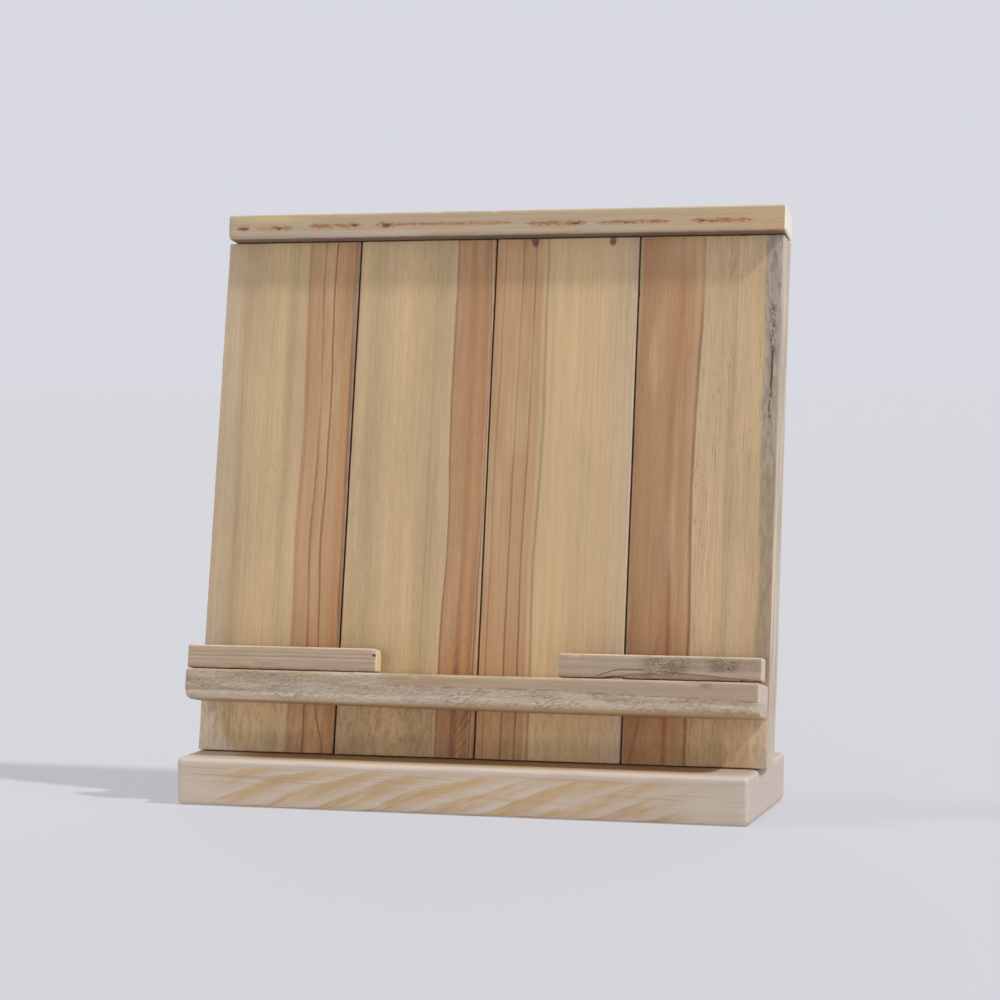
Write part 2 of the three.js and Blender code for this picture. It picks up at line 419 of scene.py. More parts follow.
def screw_mesh(length):
    """A countersunk wood screw with a helical thread and a cross recess, head up along Y."""
    head, head_depth, shank, tip = SCREW
    thread_end = -0.3 * length - head_depth
    rows = int((length + thread_end) / THREAD_PITCH * THREAD_ROWS)
    heights = np.linspace(-length, thread_end, rows)[1:]
    plain = shank - 0.35
    profile = [(0, -length)]
    profile += [(1.0, y) for y in heights]  # the thread's own radius comes below
    profile += [
        (plain, thread_end + 0.6), (plain, -head_depth - 0.5), (plain + 0.25, -head_depth + 0.1),
        (head - 0.12, -0.32), (head, -0.2), (head - 0.04, -0.07), (head - 0.2, 0), (head - 1.2, 0),
        (0, 0),
    ]
    points, faces = revolve(profile, SCREW_SEGMENTS)
    shaft = slice(1, 1 + len(heights) * SCREW_SEGMENTS)
    y = points[shaft, 1]
    angle = np.arctan2(points[shaft, 2], points[shaft, 0])
    turn = np.mod(y / THREAD_PITCH + angle / (2 * math.pi), 1)
    crest = np.clip(1 - np.abs(turn - 0.5) * 4, 0, 1)
    radius = shank - THREAD_DEPTH + THREAD_DEPTH * crest
    radius *= np.clip((y + length) / tip, 0.03, 1)
    points[shaft, 0] = radius * np.cos(angle)
    points[shaft, 2] = radius * np.sin(angle)
    return points, faces


def cross_cutter():
    """A tapered cross, as the recess in a screw's head."""
    reach, half, depth = 2.05, 0.48, 2.1
    corners = [
        (reach, -half), (reach, half), (half, half), (half, reach), (-half, reach), (-half, half),
        (-reach, half), (-reach, -half), (-half, -half), (-half, -reach), (half, -reach), (half, -half),
    ]
    points = []
    for y, scale in ((0.4, 1.12), (-0.15, 1.0), (-depth, 0.42)):
        points += [(x * scale, y, -z * scale) for x, z in corners]
    count = len(corners)
    faces = [tuple(range(count)), tuple(range(3 * count - 1, 2 * count - 1, -1))]
    for level in range(2):
        for i in range(count):
            j = (i + 1) % count
            low = level * count
            faces.append((low + j, low + i, low + count + i, low + count + j))
    return np.array(points), faces


def nail_mesh(length):
    """A fine nail with a flat, slightly hammered head."""
    head, head_depth, shank, tip = NAIL
    profile = [
        (0, -length), (0.35, -length + 0.7), (shank - 0.1, -length + tip),
        (shank - 0.08, -head_depth - 0.4), (shank, -head_depth), (head - 0.08, -0.35),
        (head, -0.22), (head - 0.05, -0.08), (head - 0.3, 0), (0.6, -0.05), (0, -0.07),
    ]
    return revolve(profile, SCREW_SEGMENTS)


def build_fasteners(fasteners):
    """One template for each length, its mesh placed for every fastener of that length."""
    templates = {}
    for index, fastener in enumerate(fasteners):
        metal = "nail" if fastener.size is NAIL else "screw"
        key = (metal, fastener.length)
        if key not in templates:
            if metal == "nail":
                template = add_mesh("template", *nail_mesh(fastener.length))
            else:
                template = add_mesh("template", *screw_mesh(fastener.length))
                cross = add_mesh("cross", *cross_cutter())
                cut(template, cross)
                bpy.data.objects.remove(cross)
            templates[key] = mesh_points(template.data, UPRIGHT), [
                tuple(face.vertices) for face in template.data.polygons
            ]
            bpy.data.objects.remove(template)
        points, faces = templates[key]
        spin = Matrix.Rotation(math.radians(37 * index), 4, "Y")
        piece = add_mesh(fastener.node, moved(points, spin), faces, fastener.place)
        add_attribute(piece.data, "timber", "FLOAT_VECTOR", points + 50 * index)
        smooth_shade(piece, 30)
        finish_piece(piece, METAL[metal], [fastener.node])


# ---- Materials as arithmetic
# Tones are written as display values from 0 to 255, and become linear light where they are used.

def linear(*tone):
    """A tone as linear light, with its alpha."""
    shares = [value / 255 for value in tone]
    light = [x / 12.92 if x <= 0.04045 else ((x + 0.055) / 1.055) ** 2.4 for x in shares]
    return (*light, 1.0)


def maths(operation):
    """A way of making a field from fields and numbers: a maths node."""
    def method(self, *others):
        return self.apply(operation, *others)
    return method


class Field:
    """A value that varies over a surface: a node's output. Arithmetic on it adds nodes."""

    def __init__(self, tree, socket):
        self.tree = tree
        self.socket = socket

    def apply(self, operation, *others):
        inputs = dict(enumerate((self, *others)))
        return new_field(self.tree, "Math", inputs, operation=operation)

    __add__ = maths("ADD")
    __sub__ = maths("SUBTRACT")
    __mul__ = maths("MULTIPLY")
    __truediv__ = maths("DIVIDE")
    size = maths("ABSOLUTE")
    fraction = maths("FRACT")
    least = maths("MINIMUM")
    most = maths("MAXIMUM")

    def step(self, start, end):
        """0 at start, 1 at end, smooth between them and level beyond."""
        inputs = {"Value": self, "From Min": start, "From Max": end}
        return new_field(self.tree, "MapRange", inputs, interpolation_type="SMOOTHSTEP")

    def near(self, centre, reach, core=0):
        """1 within the core distance of the centre, falling smoothly to 0 at the reach."""
        return (self - centre).size().step(reach, core)

    def between(self, start, end, soft):
        """1 from start to end, falling to 0 over the soft distance outside."""
        return self.step(start - soft, start) * self.step(end + soft, end)


def plug(tree, slot, value):
    """Sets a node's input: a field is linked, a tone or a number is written."""
    if isinstance(value, Field):
        tree.links.new(value.socket, slot)
    elif isinstance(value, tuple):
        slot.default_value = linear(*value)[:len(slot.default_value)]
    else:
        slot.default_value = value


def new_field(tree, kind, inputs, output=0, **settings):
    """One output of a new node that has those inputs and settings."""
    node = tree.nodes.new("ShaderNode" + kind)
    for name, value in settings.items():
        setattr(node, name, value)
    for slot, value in inputs.items():
        plug(tree, node.inputs[slot], value)
    return Field(tree, node.outputs[output])


def oval(first, second):
    """0 in the middle of an oval and 1 on its rim, from two offsets over its radii."""
    return first * first + second * second


class Surface:
    """A material that is being written: the board's coordinates as fields, and its colour so far."""

    def __init__(self, name, seed):
        self.material = bpy.data.materials.new(name)
        self.material.use_nodes = True
        self.tree = self.material.node_tree
        self.seed = seed
        node = self.tree.nodes.new("ShaderNodeSeparateXYZ")
        plug(self.tree, node.inputs[0], self.read("timber", "Vector"))
        self.along, self.across, self.depth = [Field(self.tree, out) for out in node.outputs]
        self.arris = self.read("arris", "Fac")
        self.colour = None

    def read(self, name, output):
        return new_field(self.tree, "Attribute", {}, output, attribute_name=name)

    def turned(self, degrees):
        """The along and across coordinates, turned that far on the face."""
        if degrees == 0:
            return self.along, self.across
        cosine = math.cos(math.radians(degrees))
        sine = math.sin(math.radians(degrees))
        return self.along * cosine + self.across * sine, self.across * cosine - self.along * sine

    def noise(self, long, wide, deep=None, detail=2.0, soft=0.5, shift=0.0, bend=0.0, turn=0):
        """Noise from 0 to 1, its features about that many millimetres each way."""
        places = (*self.turned(turn), self.depth)
        sizes = (long, wide, deep or wide)
        offsets = (self.seed + shift, 3.1 * shift, self.seed)
        scaled = {
            slot: places[slot].apply("MULTIPLY_ADD", 1 / sizes[slot], offsets[slot]) for slot in range(3)
        }
        inputs = {
            "Vector": new_field(self.tree, "CombineXYZ", scaled),
            "Scale": 1.0, "Detail": detail, "Roughness": soft, "Distortion": bend,
        }
        return new_field(self.tree, "TexNoise", inputs)

    def mix(self, share, first, second):
        """The first colour where share is 0 and the second where it is 1."""
        return new_field(self.tree, "Mix", {0: share, 6: first, 7: second}, 2, data_type="RGBA")

    def shade(self, colour, factor):
        """A colour made lighter or darker."""
        return new_field(self.tree, "VectorMath", {0: colour, "Scale": factor}, operation="SCALE")

    def stripes(self, where, stops, start, end):
        """Tones along a field: (place, tone) stops from the field's start to its end."""
        node = self.tree.nodes.new("ShaderNodeValToRGB")
        plug(self.tree, node.inputs[0], (where - start) / (end - start))
        points = node.color_ramp.elements
        while len(points) < len(stops):
            points.new(0.5)
        for point, (place, tone) in zip(points, stops):
            point.position = (place - start) / (end - start)
            point.color = linear(*tone)
        return Field(self.tree, node.outputs[0])

    def paint(self, share, colour):
        """Lays a colour over the material's, as strongly as share says."""
        self.colour = self.mix(share, self.colour, colour)

    def darken(self, factor):
        """Makes the material's colour darker or lighter all through."""
        self.colour = self.shade(self.colour, factor)

    def finish(self, height, roughness, metal=0.0):
        """Joins the colour and the fields to the shader. Height is in millimetres."""
        shader = self.tree.nodes["Principled BSDF"]
        bump = new_field(self.tree, "Bump", {"Distance": MM, "Height": height})
        inputs = {"Base Color": self.colour, "Roughness": roughness, "Metallic": metal, "Normal": bump}
        for slot, value in inputs.items():
            plug(self.tree, shader.inputs[slot], value)
        return self.material


# ---- Wood
# A share such as 0.6 says how strongly a mark shows. Other lengths and places are in millimetres.

TAN = (184, 157, 121)
YELLOW = (188, 161, 119)
GOLD = (204, 176, 128)
OLIVE = (168, 146, 108)
GREY = (176, 156, 130)
BLOTCH = (142, 116, 80)
HEART = (170, 131, 92)
BROWN_HEART = (158, 116, 78)
DARK_HEART = (148, 106, 70)
RED_HEART = (146, 96, 62)
ORANGE = (166, 118, 72)
LINE = (104, 64, 44)
RED_LINE = (146, 88, 58)
SOOT = (66, 56, 50)
PALE = (216, 200, 178)
DUSTY = (190, 176, 166)

# Tones across the four planks at their feet, at places in the row frame.
PLANK_STOPS = [
    [
        (-145.3, GREY), (-136, GREY), (-132, OLIVE), (-122, TAN), (-112, YELLOW), (-107, OLIVE),
        (-103, TAN), (-99.5, TAN), (-98, BROWN_HEART), (-96, HEART), (-90.9, HEART), (-90.1, LINE),
        (-89.2, ORANGE), (-86, HEART), (-79, HEART), (-77, ORANGE), (-74.4, ORANGE), (-73.7, LINE),
    ],
    [
        (-73.0, BLOTCH), (-71, TAN), (-60, OLIVE), (-52, TAN), (-41, YELLOW), (-30, OLIVE), (-22, TAN),
        (-21.6, TAN), (-21.0, LINE), (-20.2, BROWN_HEART), (-14, BROWN_HEART), (-12, RED_HEART),
        (-9, ORANGE), (-5, RED_HEART), (-4.4, HEART), (-3.7, LINE), (-2.9, HEART), (-1.3, BLOTCH),
    ],
    [
        (-0.6, ORANGE), (0.6, HEART), (2.6, HEART), (3.2, RED_LINE), (3.9, HEART), (11.8, HEART),
        (12.4, LINE), (13.1, HEART), (18.5, HEART), (19.2, LINE), (19.9, HEART), (22.8, HEART),
        (24.3, YELLOW), (25.8, BLOTCH), (26.8, YELLOW), (50, YELLOW), (62, TAN), (72.3, GREY),
    ],
    [
        (73.0, BLOTCH), (75, RED_HEART), (79, DARK_HEART), (86, BROWN_HEART), (91, BROWN_HEART),
        (93.5, RED_HEART), (96, ORANGE), (97.5, BROWN_HEART), (102.4, HEART), (104.0, LINE), (105.0, TAN),
        (117, TAN), (120.5, OLIVE), (123, TAN), (136.5, TAN), (139, GREY), (144.4, GREY),
    ],
]


def grain(s, fibre=1.0, band=1.0, tone=1.0):
    """The streaks that every pine board has: fine fibres, broader bands and slow changes of tone."""
    fine = s.noise(22, 0.42, detail=3)
    streak = s.noise(80, 1.5, detail=3, soft=0.6, shift=5)
    broad = s.noise(170, 6.5, shift=15)
    slow = s.noise(85, 26, detail=1, shift=9)
    shade = (fine - 0.5) * (0.44 * fibre) + (streak - 0.5) * (0.34 * band) + 1
    shade = shade + (broad - 0.5) * (0.30 * band) + (slow - 0.5) * (0.26 * tone)
    return shade, fine


def wear_arrises(s, light):
    """Arrises are rubbed paler, unevenly."""
    rubbed = s.arris.step(1.5, 0.1) * s.noise(9, 3, shift=21).step(0.3, 0.65)
    s.paint(rubbed * light, PALE)


def at_ends(s, board, reach, core):
    """1 on both cut ends of a board."""
    right = s.along.step(board.high[0] - reach, board.high[0] - core)
    return right.most(s.along.step(board.low[0] + reach, board.low[0] + core))


def strongest(fields):
    """The greatest of several fields at each point."""
    return functools.reduce(Field.most, fields)


def marks_1(s):
    """A curved red line, a brown corner and, at the left of the foot, a paler corner: painted light,
    where a light from the left reaches under the ledge's end.
    """
    curve = s.along.step(0, 26) * -4.6 - 79.6
    s.paint(s.row.near(curve, 0.75, 0.3) * 0.8, RED_LINE)
    ragged = s.noise(3, 2, shift=51) * 1.6 - 0.8
    corner = (s.row + ragged).near(-76, 6, 1) * s.along.between(14, 24, 8)
    s.paint(corner * 0.55, ORANGE)
    # painted light: the corner left of this diagonal is painted paler, as if lit from the left past the
    # ledge's end
    edge = s.along * -0.67 - 126
    painted_lit_corner = (s.row - edge).step(2.5, -2.5) * s.along.step(30, 24)
    s.paint(painted_lit_corner * 0.6, (220, 204, 182))


def marks_2(s):
    """Slanting saw scratches, a dark and a golden streak, and a fine crack."""
    scratches = s.noise(14, 1.0, shift=41, turn=34).step(0.5, 0.62)
    sawn = s.row.between(-13, -4.5, 1.5) * s.along.step(70, 20)
    s.paint(scratches * sawn * 0.8, LINE)
    low = s.along.step(60, 30)
    s.paint(s.row.near(-12.3, 2.4) * low * 0.8, (106, 60, 32))
    s.paint(s.row.near(-9.4, 1.8) * low * 0.5, (182, 132, 80))
    split = s.noise(5, 30, shift=43) * 6 + s.row * 0.55 + 2.2
    crack = split.near(s.along, 0.5, 0.15) * s.row.between(-20, -8, 1)
    s.paint(crack * 0.75, LINE)


def marks_3(s):
    """Two small dark knots just under the cap."""
    ragged = (s.noise(2.6, 2.0, shift=57) - 0.5) * 2.0
    for place in (18.5, 59.5):
        knot = oval((s.row + ragged - place) / 2.1, (s.along - 258.6) / 3.4)
        s.paint(knot.step(1.3, 0.3) * 0.8, (78, 48, 34))


def marks_4(s):
    """Slanting red streaks, fine ticks, a weathered strip at the right edge and a tear in it."""
    slanted = s.row - s.along * 0.2
    s.paint(slanted.near(79.6, 1.3, 0.3) * s.along.step(90, 20) * 0.8, ORANGE)
    dark = slanted.near(76.6, 1.6, 0.2) * s.along.step(90, 20)
    dark = dark.most(s.row.near(93.6, 1.5, 0.3) * s.along.step(120, 30))
    s.paint(dark * 0.8, (136, 78, 48))
    fine = s.noise(18, 0.42, detail=1, shift=45).step(0.6, 0.7) * s.row.between(106, 135, 4)
    s.paint(fine * 0.45, BLOTCH)
    mottled = s.noise(9, 2.6, detail=4, soft=0.7, shift=49).step(0.30, 0.68)
    grey = s.mix(mottled, (118, 108, 96), (170, 160, 151))
    brown = s.mix(mottled, (136, 114, 88), (160, 140, 114))
    strip = s.row.step(134.5, 137) * s.along.step(32, 60)
    s.paint(strip * 0.8, s.mix(s.along.step(90, 215), brown, grey))
    wobble = (s.noise(26, 26, detail=1, shift=47) - 0.5) * 1.4
    gap = (s.row + wobble - 139.8).size()
    dotted = s.noise(1.8, 1.2, shift=53).step(0.46, 0.56)
    torn = [
        gap.step(0.8, 0.3) * s.along.between(185, 202, 3),
        gap.step(1.9, 0.6) * s.along.between(203, 224, 4) * dotted * 0.75,
        gap.step(1.3, 0.4) * s.along.between(170, 182, 4) * dotted * 0.8,
    ]
    s.paint(strongest(torn) * 0.92, SOOT)


# Each plank: how blotched, flecked and ticked it is, how much painted warm shade its foot has, and its
# own marks.
PLANK_LOOKS = [
    (0.65, 0.15, 0.60, 0.00, marks_1),
    (0.85, 0.70, 0.55, 0.24, marks_2),
    (0.40, 0.10, 0.30, 0.10, marks_3),
    (0.60, 0.05, 0.90, 0.28, marks_4),
]


def paint_open_side(s, width):
    """The right side of the last plank, sawn and greyed."""
    sawn = s.noise(60, 2.4, detail=3, shift=61)
    side = s.mix(sawn.step(0.35, 0.65), (168, 152, 132), (200, 187, 170))
    dark = s.noise(9, 1.2, shift=63).step(0.6, 0.74)
    side = s.mix(dark * 0.4, side, (150, 122, 94))
    s.paint(s.across.step(width - 0.9, width - 0.2), side)


def plank_material(plank, index):
    s = Surface(f"plank_{index + 1}_pine", 13.7 * index)
    blotchy, flecky, ticked, painted_foot_shade, add_marks = PLANK_LOOKS[index]
    left, right = plank.low[0], plank.high[0]
    rise = s.along.step(26, 110)
    sway = (s.noise(140, 60, shift=2) - 0.5) * 9.0 * rise + (s.noise(22, 8, shift=4) - 0.5) * 0.7
    s.row = s.across + left + sway + s.depth * 0.35
    s.colour = s.stripes(s.row, PLANK_STOPS[index], left, right)
    fading = s.noise(75, 11, shift=23).step(0.48, 0.72) * rise
    s.paint(fading * 0.4 + rise * 0.22, TAN)
    shade, fine = grain(s, 0.9)
    late = s.noise(330, 1.0, soft=0.6, shift=6).step(0.56, 0.68)
    # painted light: the upper part of each foot, just under the ledge, is made lighter to offset the
    # ledge's shade on it
    painted_light_below_ledge = s.along.between(14, 24, 7)
    s.darken(shade - late * 0.10 + painted_light_below_ledge * 0.24 + 0.16)
    add_marks(s)
    foot = s.along.step(46, 28)
    mottle = s.noise(8, 2.6, detail=4, soft=0.68, shift=12, bend=0.5)
    blotched = (foot * 0.8 + 0.2) * blotchy
    s.paint(mottle.step(0.45, 0.63) * blotched * 0.6, BLOTCH)
    s.paint(mottle.step(0.47, 0.34) * blotched * 0.4, GOLD)
    # painted shade: the feet under the ledge are browned to stand for the warm shade there, fading out at
    # the lit right end of the last plank
    s.paint(foot * s.row.step(146, 118) * painted_foot_shade, (150, 104, 56))
    flecks = s.noise(2.2, 1.0, shift=27).step(0.56, 0.72)
    flecks = flecks * s.noise(22, 16, shift=29).step(0.42, 0.6) * foot
    s.paint(flecks * (flecky * 0.28), PALE)
    ticks = s.noise(4.5, 0.36, detail=1, shift=31).step(0.64, 0.74)
    ticks = ticks * s.noise(25, 14, shift=33).step(0.42, 0.66)
    s.paint(ticks * (ticked * 0.6), LINE)
    wear_arrises(s, 0.22)
    if index == len(PLANK_LOOKS) - 1:
        paint_open_side(s, right - left)
    height = (fine - 0.5) * 0.10 - ticks * 0.08 - late * 0.03 + (mottle - 0.5) * 0.08
    return s.finish(height, fine * 0.16 + 0.60)


FLAME_ANGLE = 24  # slope of the base's golden flames
FLAME_SPACING = 28.4
FLAME_FOOT = -108.0  # where one of them starts at the lower edge
PAINTED_SHADOW_DEPTH = 17  # how far the painted shadow on the base's top reaches in front of the planks' feet
RING_CENTRE = (128, -46)  # the tree's middle as the base's end shows it: behind and below the board
RING_SPACING = 2.7


def flames(s):
    """The base's golden flames, and the darker streaks in them."""
    wander = (s.noise(34, 9, shift=1, turn=FLAME_ANGLE) - 0.5) * 0.75
    slope = 1 / math.tan(math.radians(FLAME_ANGLE))
    climb = s.across * slope + (s.across * s.across) * 0.035
    ring = ((s.along - climb - FLAME_FOOT) / FLAME_SPACING + s.depth * 0.3 + wander).fraction()
    flame = ring.step(0.0, 0.14) * ring.step(1.0, 0.35)
    place = s.along.step(-134, -112) * s.along.step(120, 96)
    streaks = s.noise(22, 2.8, shift=11, turn=FLAME_ANGLE)
    core = flame * streaks.step(0.42, 0.62) * place * s.across.step(21, 3)
    broken = s.noise(30, 6, detail=3, shift=13, turn=FLAME_ANGLE).step(0.28, 0.56)
    return flame * broken * place * (s.across.step(25, 16) * 0.85 + 0.15), core


def base_material(board):
    s = Surface("base_pine", 3.0)
    fine = s.noise(34, 0.5, detail=3)
    lines = s.noise(75, 0.9, shift=5, turn=-1.5)
    broad = s.noise(90, 5.0, shift=7)
    s.colour = s.mix(broad.step(0.35, 0.65), (200, 185, 168), (196, 176, 156))
    flame, core = flames(s)
    s.paint(flame * 0.9, (190, 159, 112))
    s.paint(core * 0.5, (172, 136, 88))
    pink = lines.step(0.52, 0.68) * (s.across.step(4, 14) * 0.5 + 0.5)
    s.paint(pink * 0.5, (162, 134, 114))
    slow = s.noise(110, 30, shift=17)
    shade = (fine - 0.5) * 0.17 + (lines - 0.5) * 0.20 + (slow - 0.5) * 0.14 + 1.09
    s.darken(shade - s.along.step(10, 90) * 0.07)
    # painted shade: the top face is given a darker, greyer tone than the front, toning down how brightly
    # it is lit
    top = s.across.step(22.2, 23.2)
    s.paint(top * 0.8, (176, 160, 143))
    foot = LEANING.translation[1] - board.low[1]
    # painted shadow: a brown strip on the base's top in front of the planks' feet, where the ledge shades
    # it, stopping short of the lit ends
    painted_shadow = top * s.depth.between(foot - PAINTED_SHADOW_DEPTH, foot, 5) * s.along.between(-106, 110, 14)
    s.paint(painted_shadow * 0.85, (168, 134, 90))
    rim = s.across.between(20.5, 23, 2) * s.depth.step(4, 1)
    s.paint(rim * 0.5, (196, 184, 174))
    behind, below = RING_CENTRE
    rings = (oval(s.depth - behind, s.across - below).apply("SQRT") / RING_SPACING).fraction()
    year = rings.step(0.35, 0.85) * rings.step(1.0, 0.9)
    pores = s.noise(1.2, 1.0, 3.5, detail=3, soft=0.65, shift=19)
    cut_end = s.mix(year * 0.6, (190, 178, 169), (180, 161, 146))
    at_end = s.along.step(board.high[0] - 1.2, board.high[0] - 0.3)
    s.paint(at_end, s.shade(cut_end, (pores - 0.5) * 0.8 + 1))
    wear_arrises(s, 0.2)
    height = (fine - 0.5) * 0.05 + flame * 0.02 + (pores - 0.5) * at_end * 0.05
    return s.finish(height, fine * 0.14 + 0.56)


def ledge_material(board):
    s = Surface("ledge_pine", 29.0)
    shade, fine = grain(s, 0.9, 0.9, 0.8)
    falling = (s.along - 30).most(0) * -0.027
    edge = (s.noise(14, 4, shift=3) - 0.5) * 1.4 + 10.2 + falling
    planed_part = (s.along + s.noise(12, 1.5, shift=18) * 20).step(-38, -26)
    planed = (s.across - edge).step(-0.3, 0.3) * planed_part
    sawn = planed * -0.85 + 1
    cloudy = s.noise(30, 3.0, shift=14).step(0.35, 0.68)
    rough_wood = s.mix(cloudy, (194, 175, 154), (176, 156, 134))
    olive = s.across.step(8, 13) * s.noise(26, 5, shift=15).step(0.45, 0.62) * s.along.step(-60, -95)
    rough_wood = s.mix(olive * 0.6, rough_wood, (170, 148, 100))
    banded = s.noise(34, 2.4, shift=16).step(0.4, 0.6)
    smooth_wood = s.mix(banded, (170, 150, 118), (172, 143, 118))
    smooth_wood = s.mix(s.along.step(0, 70), smooth_wood, (171, 148, 124))
    s.colour = s.mix(planed, rough_wood, smooth_wood)
    s.darken(shade - s.along.step(-10, -120) * 0.11)
    torn = s.noise(2.8, 0.36, shift=26, turn=8).step(0.54, 0.68) * sawn
    s.paint(torn * 0.35, PALE)
    # painted light: a pale band on the lower front rounding, stronger at the left
    painted_light_low = s.across.between(2.4, 5.0, 1.4) * (s.along.step(-20, -50) * 0.35 + 0.4)
    s.paint(painted_light_low, (210, 191, 168))
    slanted = s.noise(3.0, 0.36, detail=3, soft=0.6, shift=19, turn=14).step(0.52, 0.66)
    level = s.noise(2.2, 0.34, shift=20).step(0.54, 0.68)
    patch = s.noise(26, 4, shift=17, turn=-4).step(0.36, 0.62)
    ticks = slanted.most(level) * (patch * 0.6 + 0.4) * sawn * (s.along.step(-60, -30) * 0.1 + 0.46)
    tear = s.across.near(edge, 0.7, 0.15) * s.noise(5, 3, shift=23).step(0.42, 0.58) * planed_part
    s.paint(ticks.most(tear * 0.4), (104, 86, 70))
    eye = oval((s.along - 118) / 3.2, (s.across - 14.6) / 1.3)
    s.paint(eye.step(1.8, 0.2) * 0.35, (104, 84, 66))
    # painted light: warm bounce light on the underside of the lower front rounding
    s.paint(s.across.step(2.6, 1.2) * 0.8, (188, 150, 104))
    pores = s.noise(1.4, 1.0, detail=3, soft=0.65, shift=25)
    cut_end = s.shade((195, 178, 164), (pores - 0.5) * 1.1 + 1)
    s.paint(at_ends(s, board, 1.1, 0.3) * 0.85, cut_end)
    wear_arrises(s, 0.4)
    height = (fine - 0.5) * 0.14 - ticks * 0.3 - tear * 0.12
    return s.finish(height, fine * 0.12 + 0.70)


# Tones up the fronts of the lips and the cap, at heights in millimetres.
LEFT_LIP_ROWS = [
    (0, (126, 98, 70)), (1.6, (148, 121, 93)), (3.2, (162, 138, 114)), (4.4, (152, 125, 100)),
    (5.4, (172, 150, 122)), (6.3, (132, 112, 93)), (7.2, (170, 149, 122)), (8.2, (148, 124, 98)),
    (9.4, (164, 142, 114)), (10.2, (158, 136, 108)), (11.5, (184, 166, 138)),
]
RIGHT_LIP_ROWS = [
    (0, (120, 94, 70)), (1.4, (144, 122, 98)), (3.4, (156, 135, 110)), (5.2, (144, 124, 103)),
    (7.2, (156, 136, 112)), (9.0, (142, 124, 102)), (10.2, (162, 139, 110)), (11.5, (188, 166, 136)),
]
CAP_ROWS = [
    (0, (160, 140, 110)), (2.5, (174, 157, 130)), (5.5, (168, 151, 128)),
    (8, (166, 148, 121)), (10.5, (172, 150, 117)), (13, (186, 167, 136)),
]


def paint_lip_streaks(s, rows, wave):
    """The long level streaks of the lips, with dark flecks."""
    place = s.across + (s.noise(60, 12, shift=2) - 0.5) * wave + (s.noise(18, 2, shift=3) - 0.5) * 0.8
    s.colour = s.stripes(place, rows, rows[0][0], rows[-1][0])
    strength = s.noise(45, 2.2, shift=6).step(0.3, 0.6)
    s.paint(strength * -0.45 + 0.45, (162, 139, 111))
    shade, fine = grain(s, 1.1, 1.0, 0.6)
    flecked = s.noise(3.4, 1.0, detail=3, soft=0.65, shift=8).step(0.58, 0.74)
    s.paint(flecked * 0.45, (124, 98, 70))
    s.paint(0.12, DUSTY)
    s.darken(shade + 0.18)
    return fine


def paint_lip_ends(s, board, tone):
    """The cut ends of a lip, with open pores."""
    pores = s.noise(0.6, 0.7, detail=3, shift=25)
    s.paint(at_ends(s, board, 0.7, 0.2), s.shade(tone, (pores - 0.5) * 0.7 + 1))


def left_lip_material(board):
    s = Surface("left_lip_pine", 37.0)
    fine = paint_lip_streaks(s, LEFT_LIP_ROWS, 1.6)
    stain = s.along.near(-110, 26) * s.across.near(2.8, 2.0)
    s.paint(stain * s.noise(12, 1.6, shift=43).step(0.4, 0.6) * 0.5, (148, 112, 84))
    paint_lip_ends(s, board, (204, 188, 148))
    dot = s.along.near(board.high[0] - 1.3, 1.4) * s.across.near(8.0, 1.3)
    s.paint(dot.step(0.05, 0.6), (76, 58, 38))
    wear_arrises(s, 0.45)
    return s.finish((fine - 0.5) * 0.12 - dot * 0.3, fine * 0.12 + 0.68)


def right_lip_material(board):
    s = Surface("right_lip_pine", 43.0)
    fine = paint_lip_streaks(s, RIGHT_LIP_ROWS, 1.2)
    rise = s.along.step(58, 77) * 4.8 - 0.6
    arc = s.across.near(rise, 0.55, 0.12) * s.along.between(63, 86, 4)
    inner = s.along.step(68, 84) * 2.6 - 0.4
    arc = arc.most(s.across.near(inner, 0.5, 0.1) * s.along.between(71, 92, 4) * 0.8)
    wedge = (s.across - inner).step(0.2, -0.4) * s.along.between(70, 88, 6)
    falling = (s.along - 106) * -0.072 + 3.0
    low_line = s.across.near(falling, 0.5, 0.1) * s.along.between(100, 142, 8)
    below = (s.across - falling).step(0.3, -0.5) * s.along.between(104, 140, 10)
    s.paint(wedge.most(below * 0.6) * 0.6, (124, 90, 62))
    s.paint(arc.most(low_line) * 0.7, (98, 74, 56))
    stain = s.along.between(92, 103, 9) * s.across.between(2.5, 9, 2.5)
    stain = stain + s.along.between(123, 129, 6) * s.across.between(5, 9, 2) * 0.75
    stain = stain + s.along.between(106, 140, 8) * s.across.between(6, 10, 2) * 0.35
    uneven = s.noise(9, 4, shift=42).step(0.3, 0.6)
    s.paint((stain * uneven).least(1) * 0.5, (108, 88, 66))
    dots = s.noise(0.62, 0.52, detail=1, shift=41).step(0.52, 0.62)
    s.paint((stain * dots).least(1) * 0.95, SOOT)
    crack = s.along.near(CHIP_PLACE, 6) * s.across.near(0.2, 1.3)
    s.paint(crack, (46, 34, 26))
    paint_lip_ends(s, board, (196, 178, 152))
    wear_arrises(s, 0.4)
    return s.finish((fine - 0.5) * 0.12 - arc * 0.12, fine * 0.12 + 0.70)


# The cap's pith line: where each dash starts and ends, how strong it is and where its core is darkest.
CAP_DASHES = [
    (-137.5, -130.5, 0.8, -134), (-127, -107, 0.8, -114), (-99, -69.5, 0.85, -74), (-63, -52, 1.0, -57),
    (-54, 9, 0.62, None), (16, 47, 0.85, 41), (51, 89, 0.68, 66), (99, 130, 0.8, 106),
]


